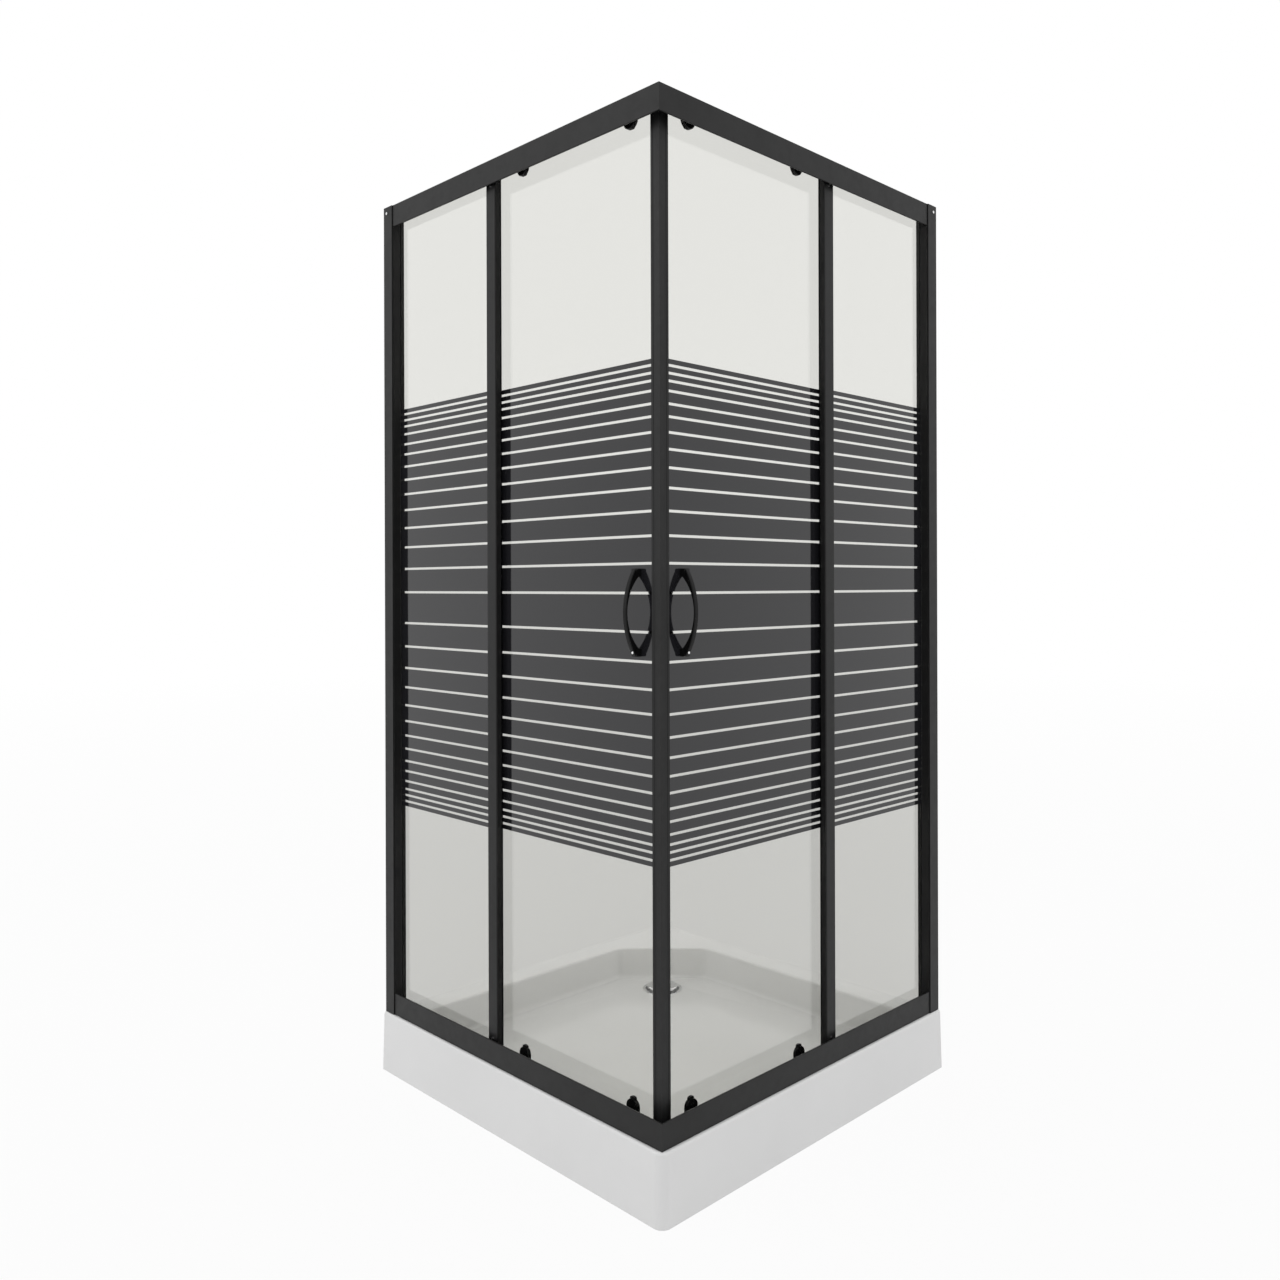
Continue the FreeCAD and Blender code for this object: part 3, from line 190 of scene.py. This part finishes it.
def black_gloss(name, roughness, grain):
    """Moulded black plastic with a soft flow texture."""
    finish = Finish(name, grey(0.004), roughness, Specular_IOR_Level=0.16)
    finish.vary_roughness(finish.noise(scale=180), low=roughness * 0.75, high=roughness * 1.3)
    finish.vary_color(finish.noise(scale=45), first=grey(0.003), second=grey(0.006))
    finish.bump(finish.noise(scale=grain, detail=3), distance=0.00001, strength=0.4)
    return finish.material


def band_enamel():
    """Enamel fired on the glass: deep black, mirror-smooth, with a hint of unevenness."""
    finish = Finish("band_enamel", (0.012, 0.012, 0.014), roughness=0.06, IOR=1.55)
    finish.vary_roughness(finish.noise(scale=14), low=0.04, high=0.10)
    finish.bump(finish.noise(scale=500, detail=2), distance=0.000004, strength=0.3)
    return finish.material


def acrylic():
    """Glossy white moulded acrylic, with the slow waviness of a drawn sheet."""
    finish = Finish("acrylic_white", grey(0.81), roughness=0.2, Coat_Weight=0.3, Coat_Roughness=0.08)
    finish.vary_roughness(finish.noise(scale=12), low=0.16, high=0.26)
    finish.vary_color(finish.noise(scale=4), first=grey(0.80), second=grey(0.83))
    finish.bump(finish.noise(scale=8, detail=1), distance=0.0003, strength=0.25)
    finish.bump(finish.noise(scale=900, detail=2), distance=0.00001, strength=0.3)
    return finish.material


def soft_black(name, level, roughness):
    """Rubber or magnet strip: dull black with a fine bloom."""
    finish = Finish(name, grey(level), roughness, Specular_IOR_Level=0.25, Sheen_Weight=0.02)
    finish.vary_color(finish.noise(scale=70), first=grey(level * 0.8), second=grey(level * 1.35))
    finish.vary_roughness(finish.noise(scale=150), low=roughness * 0.85, high=roughness)
    finish.bump(finish.noise(scale=3000, detail=2), distance=0.00003, strength=0.5)
    return finish.material


def plain_plastic(name, color, roughness):
    """Matt moulding with a spark-eroded grain."""
    finish = Finish(name, color, roughness)
    finish.vary_roughness(finish.noise(scale=120), low=roughness * 0.85, high=roughness * 1.1)
    finish.vary_color(finish.noise(scale=30), first=shaded(color, 0.93), second=shaded(color, 1.06))
    finish.bump(finish.noise(scale=2200, detail=2), distance=0.00003, strength=0.5)
    return finish.material


def bright_metal(name, color, roughness, grain):
    """Steel or chrome; a strong grain gives brushed or galvanised streaks."""
    finish = Finish(name, color, roughness, Metallic=1.0)
    streaks = finish.noise(scale=grain, stretch=(1, 1, 0.2))
    finish.vary_roughness(streaks, low=roughness * 0.6, high=roughness * 1.5)
    finish.vary_color(finish.noise(scale=grain / 6), first=shaded(color, 0.88), second=color)
    finish.bump(finish.noise(scale=grain * 4, detail=2), distance=0.000008, strength=0.4)
    return finish.material


FINISHES = {
    "frame_black": powder_coat(),
    "glass_clear": clear_glass(),
    "band_enamel": band_enamel(),
    "acrylic_white": acrylic(),
    "handle_black": black_gloss("handle_black", roughness=0.22, grain=700),
    "roller_black": black_gloss("roller_black", roughness=0.28, grain=900),
    "wheel_nylon": plain_plastic("wheel_nylon", (0.78, 0.78, 0.75), roughness=0.45),
    "magnet_black": soft_black("magnet_black", level=0.010, roughness=0.5),
    "seal_rubber": soft_black("seal_rubber", level=0.022, roughness=0.7),
    "connector_plastic": plain_plastic("connector_plastic", grey(0.03), roughness=0.5),
    "foot_plastic": plain_plastic("foot_plastic", grey(0.04), roughness=0.55),
    "waste_plastic": plain_plastic("waste_plastic", (0.72, 0.72, 0.71), roughness=0.4),
    "waste_chrome": bright_metal("waste_chrome", (0.86, 0.86, 0.87), roughness=0.08, grain=60),
    "screw_steel": bright_metal("screw_steel", grey(0.82), roughness=0.22, grain=300),
    "zinc_steel": bright_metal("zinc_steel", (0.68, 0.69, 0.71), roughness=0.34, grain=240),
    "frame_steel": bright_metal("frame_steel", (0.6, 0.61, 0.62), roughness=0.42, grain=40),
    "spring_steel": bright_metal("spring_steel", grey(0.55), roughness=0.3, grain=400),
}

CAD_SHARP_ANGLE = math.radians(32)


def finish_nodes():
    """Gives each CAD node its slot's material, and smooths its round faces."""
    for entry in frame["record"]["subparts"]:
        node = NODES[entry["node"]]
        node.data.materials.clear()
        node.data.materials.append(FINISHES[entry["material_slot"]])
        for face in node.data.polygons:
            face.use_smooth = True
        node.data.set_sharp_from_angle(angle=CAD_SHARP_ANGLE)


finish_nodes()


# Pieces of the scene's own. Each is a set of solids skinned over rings of points.

PIECE_SHARP_ANGLE = math.radians(50)


def along_side(hand, x, y, z):
    """A point given for the left-hand side, on that side or mirrored through the entry corner."""
    return (x, y, z) if hand == "left" else (-y, -x, z)


def skinned_mesh(name, solids, smooth):
    """A mesh of closed solids, each given by the rings of points that it runs through."""
    work = bmesh.new()
    for rings in solids:
        rings = [[work.verts.new(point) for point in ring] for ring in rings]
        work.faces.new(rings[0])
        work.faces.new(rings[-1][::-1])
        for first, second in zip(rings, rings[1:]):
            for index in range(len(first)):
                after = (index + 1) % len(first)
                work.faces.new((first[index], second[index], second[after], first[after]))
    bmesh.ops.recalc_face_normals(work, faces=work.faces)
    for face in work.faces:
        face.smooth = smooth
    mesh = bpy.data.meshes.new(name)
    work.to_mesh(mesh)
    work.free()
    if smooth:
        mesh.set_sharp_from_angle(angle=PIECE_SHARP_ANGLE)
    return mesh


def add_piece(name, mesh, body, slot):
    piece = bpy.data.objects.new(name, mesh)
    bpy.context.scene.collection.objects.link(piece)
    mesh.materials.append(FINISHES[slot])
    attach(piece, body)
    return piece


# The printed band: dark stripes that grow towards its middle, with clear lines between them.

STRIPE_SHARES = (9, 9, 9, 13, 18, 18, 23, 25, 28, 31, 36, 39, 44, 48, 65)
BAND_LOW = FRAME_FOOT + 0.473
BAND_HIGH = FRAME_FOOT + 1.370
CLEAR_LINE = 0.0048
PRINT_THICKNESS = 0.00012
PRINT_GAP = 0.00004            # keeps the print's back off the glass's own face
PRINT_MARGIN = 0.0006          # from the profiles beside a pane
POST_FROM_CORNER = 0.5175      # just short of the post, where the fixed print ends
SEAL_FROM_CORNER = 0.496       # the edge of the door's trailing seal


def stripe_heights():
    shares = STRIPE_SHARES + STRIPE_SHARES[-2::-1]
    unit = (BAND_HIGH - BAND_LOW - CLEAR_LINE * (len(shares) - 1)) / sum(shares)
    low = BAND_LOW
    stripes = []
    for share in shares:
        stripes.append((low, low + share * unit))
        low += share * unit + CLEAR_LINE
    return stripes


def print_mesh(hand, left, right, face):
    """A thin slab for each stripe on the outer face of a pane, with its front edges eased."""
    ease = PRINT_THICKNESS / 2
    back = face - PRINT_GAP
    slabs = []
    for low, high in stripe_heights():
        slab = []
        for y, inset in ((back, 0), (back - ease, 0), (back - PRINT_THICKNESS, ease)):
            corners = ((left + inset, low + inset), (right - inset, low + inset),
                       (right - inset, high - inset), (left + inset, high - inset))
            slab.append([along_side(hand, x, y, z) for x, z in corners])
        slabs.append(slab)
    return skinned_mesh("print", slabs, smooth=False)


def make_prints():
    door_left = CORNER - SEAL_FROM_CORNER + PRINT_MARGIN
    door_right = LEAD_EDGE - PRINT_MARGIN
    for hand in HANDS:
        fixed = print_mesh(hand, JAMB_EDGE + PRINT_MARGIN, CORNER - POST_FROM_CORNER, FIXED_FACE)
        add_piece(f"print_fixed_{hand}", fixed, "enclosure", "band_enamel")
        door = print_mesh(hand, door_left, door_right, DOOR_FACE)
        add_piece(f"print_door_{hand}", door, f"door_{hand}", "band_enamel")


make_prints()


# The recess over each handle's screw is closed by a bright domed plug. The outer handle's is at
# its foot, and the inner handle, which is the same one turned over, has it at its top.

SCREW_INSET = 0.0075     # from the end of the handle
SCREW_HEAD = 0.0150      # from the glass's middle
RECESS_MOUTH = 0.0190    # from the glass's middle, and the foot of the dome
PLUG_GAP = 0.0001        # between the screw's head and the plug
PLUG_RADIUS = 0.0027
PLUG_SIDES = 32
DOME_RISE = 0.0006
DOME_RINGS = 6


def round_points(count, turn=2 * math.pi):
    """The cosine and sine of evenly spaced angles."""
    angles = [turn * index / count for index in range(count)]
    return [(math.cos(angle), math.sin(angle)) for angle in angles]


def plug_mesh(hand, height, way):
    """A short rod with a domed front, made of rings round the screw's axis."""
    middle = (HANDLE_LOW.x + HANDLE_HIGH.x) / 2
    glass_middle = (DOOR_FACE + DOOR_BACK) / 2
    profile = [(PLUG_RADIUS, SCREW_HEAD + PLUG_GAP)]
    for inward, forward in round_points(DOME_RINGS, math.pi / 2):
        profile.append((PLUG_RADIUS * inward, RECESS_MOUTH + DOME_RISE * forward))
    rings = []
    for reach, depth in profile:
        y = glass_middle + way * depth
        rings.append([along_side(hand, middle + reach * across, y, height + reach * rise)
                      for across, rise in round_points(PLUG_SIDES)])
    return skinned_mesh("plug", [rings], smooth=True)


def make_plugs():
    screws = (("outer", HANDLE_LOW.z + SCREW_INSET, -1), ("inner", HANDLE_HIGH.z - SCREW_INSET, 1))
    for hand in HANDS:
        for place, height, way in screws:
            mesh = plug_mesh(hand, height, way)
            add_piece(f"{place}_handle_plug_{hand}", mesh, f"door_{hand}", "screw_steel")


make_plugs()


# Wound springs take the place of the CAD's plain tubes.

WIRE_THICKNESS = 0.00055
SPRING_TURNS = 3.5
STEPS_PER_TURN = 32
WIRE_SIDES = 10


def spring_mesh(low, high):
    """A helix of round wire that fills a node's box."""
    middle = (low + high) / 2
    thick = WIRE_THICKNESS / 2
    radius = (high.x - low.x) / 2 - thick
    climb = high.z - low.z - WIRE_THICKNESS
    steps = round(SPRING_TURNS * STEPS_PER_TURN)
    rings = []
    for step in range(steps + 1):
        turn = 2 * math.pi * step / STEPS_PER_TURN
        outward = Vector((math.cos(turn), math.sin(turn), 0))
        height = low.z + thick + climb * step / steps
        core = Vector((middle.x, middle.y, height)) + outward * radius
        rings.append([core + (outward * across + UP * rise) * thick
                      for across, rise in round_points(WIRE_SIDES)])
    return skinned_mesh("spring", [rings], smooth=True)


def make_springs():
    for hand in HANDS:
        for place in ("near", "far"):
            node = f"roller_spring_{place}_{hand}"
            low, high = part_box(node)
            spring = add_piece(f"wound_spring_{place}_{hand}", spring_mesh(low, high), f"door_{hand}",
                               "spring_steel")
            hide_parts(node)
            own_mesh(spring)


make_springs()


# Stage: a pale floor that fades to white, and soft light from all round. The lamps' own light
# can't pass through glass, and the glass's body colour takes some of the rest, so what comes in
# through the panes is raised to light the tray at a plain level.

WORLD_LIGHT = 0.86
INWARD_LIGHT = 1.85
FLOOR_REACH = 30
FLOOR_LEVEL = 0.66
FLOOR_ROUGHNESS = 0.8
FADE_SPAN = (2.0, 12.0)            # metres from the object's middle
FLOOR_GLOW = (0.94, 1.0)           # the glow's share across that span, seen directly
FLOOR_GLOW_THROUGH = (0.3, 0.6)    # and seen through glass
HAZE_SPAN = (0.0, 0.1)             # how steeply a view through glass looks up
HAZE_LEVEL = (0.86, 1.0)
LAMP_SIZE = (1.6, 2.4)
LAMP_AIM = Vector((0, 0, 0.9))
KEY_PLACE = Vector((-1.6, -3.6, 2.6))
KEY_POWER = 19
FILL_PLACE = Vector((3.8, 1.4, 2.3))
FILL_POWER = 5


def math_node(tree, operation, first, second):
    item = tree.nodes.new("ShaderNodeMath")
    item.operation = operation
    for socket, value in zip(item.inputs, (first, second)):
        if isinstance(value, float):
            socket.default_value = value
        else:
            tree.links.new(value, socket)
    return item.outputs["Value"]


def ray_kinds(tree):
    """Three outputs that are 1 for their own rays and 0 for others: rays from the camera or off
    gloss, rays seen through glass, and light that comes in through glass."""
    path = tree.nodes.new("ShaderNodeLightPath")
    bounced = math_node(tree, "GREATER_THAN", path.outputs["Diffuse Depth"], 0.5)
    glazed = path.outputs["Is Transmission Ray"]
    inward = math_node(tree, "MULTIPLY", glazed, bounced)
    through = math_node(tree, "SUBTRACT", glazed, inward)
    seen = math_node(tree, "MAXIMUM", path.outputs["Is Camera Ray"], path.outputs["Is Glossy Ray"])
    direct = math_node(tree, "MULTIPLY", seen, math_node(tree, "SUBTRACT", 1.0, glazed))
    return direct, through, inward


def blend(tree, pairs):
    """Adds up shares of ray kinds."""
    total = None
    for kind, share in pairs:
        part = math_node(tree, "MULTIPLY", kind, share)
        total = math_node(tree, "ADD", total, part) if total else part
    return total


def fade_between(tree, source, span, values):
    """Runs from one value to the other as the source crosses a span."""
    item = tree.nodes.new("ShaderNodeMapRange")
    tree.links.new(source, item.inputs["Value"])
    for key, value in zip(("From Min", "From Max", "To Min", "To Max"), (*span, *values)):
        item.inputs[key].default_value = value
    return item.outputs["Result"]


def floor_material():
    """Matt pale grey that takes the object's shadow, with a glow over it that fades to white."""
    material = bpy.data.materials.new("floor_white")
    material.use_nodes = True
    tree = material.node_tree
    matt = tree.nodes["Principled BSDF"]
    matt.inputs["Base Color"].default_value = (*grey(FLOOR_LEVEL), 1)
    matt.inputs["Roughness"].default_value = FLOOR_ROUGHNESS
    glow = tree.nodes.new("ShaderNodeEmission")
    direct, through, inward = ray_kinds(tree)
    strength = blend(tree, [(direct, 1.0), (through, 1.0), (inward, INWARD_LIGHT)])
    tree.links.new(strength, glow.inputs["Strength"])
    mix = tree.nodes.new("ShaderNodeMixShader")
    place = tree.nodes.new("ShaderNodeNewGeometry").outputs["Position"]
    away = tree.nodes.new("ShaderNodeVectorMath")
    away.operation = "LENGTH"
    tree.links.new(place, away.inputs[0])
    distance = away.outputs["Value"]
    plain_share = fade_between(tree, distance, FADE_SPAN, FLOOR_GLOW)
    through_share = fade_between(tree, distance, FADE_SPAN, FLOOR_GLOW_THROUGH)
    share = blend(tree, [(direct, plain_share), (through, through_share), (inward, 1.0)])
    tree.links.new(share, mix.inputs["Fac"])
    tree.links.new(matt.outputs["BSDF"], mix.inputs[1])
    tree.links.new(glow.outputs["Emission"], mix.inputs[2])
    tree.links.new(mix.outputs["Shader"], tree.nodes["Material Output"].inputs["Surface"])
    return material


def stage_floor():
    corners = [(FLOOR_REACH * x, FLOOR_REACH * y, 0) for x, y in ((-1, -1), (1, -1), (1, 1), (-1, 1))]
    mesh = bpy.data.meshes.new("floor")
    mesh.from_pydata(corners, [], [(0, 1, 2, 3)])
    mesh.materials.append(floor_material())
    floor = bpy.data.objects.new("floor", mesh)
    bpy.context.scene.collection.objects.link(floor)


def stage_world():
    world = bpy.data.worlds.new("studio")
    bpy.context.scene.world = world
    world.use_nodes = True
    tree = world.node_tree
    direct, through, inward = ray_kinds(tree)
    named = blend(tree, [(direct, 1.0), (through, 1.0), (inward, 1.0)])
    others = math_node(tree, "SUBTRACT", 1.0, named)
    heading = tree.nodes.new("ShaderNodeSeparateXYZ")
    tree.links.new(tree.nodes.new("ShaderNodeTexCoord").outputs["Generated"], heading.inputs["Vector"])
    haze = fade_between(tree, heading.outputs["Z"], HAZE_SPAN, HAZE_LEVEL)
    strength = blend(tree, [(direct, 1.0), (through, haze), (inward, INWARD_LIGHT), (others, WORLD_LIGHT)])
    light = tree.nodes["Background"]
    light.inputs["Color"].default_value = (1, 1, 1, 1)
    tree.links.new(strength, light.inputs["Strength"])


def stage_lamp(name, place, power):
    data = bpy.data.lights.new(name, "AREA")
    data.shape = "RECTANGLE"
    data.size, data.size_y = LAMP_SIZE
    data.energy = power
    lamp = bpy.data.objects.new(name, data)
    lamp.location = place
    lamp.rotation_mode = "QUATERNION"
    lamp.rotation_quaternion = (LAMP_AIM - place).to_track_quat("-Z", "Y")
    lamp.visible_transmission = False
    bpy.context.scene.collection.objects.link(lamp)


stage_floor()
stage_world()
stage_lamp("key", KEY_PLACE, KEY_POWER)
stage_lamp("fill", FILL_PLACE, FILL_POWER)
bpy.context.scene.view_settings.view_transform = "Standard"
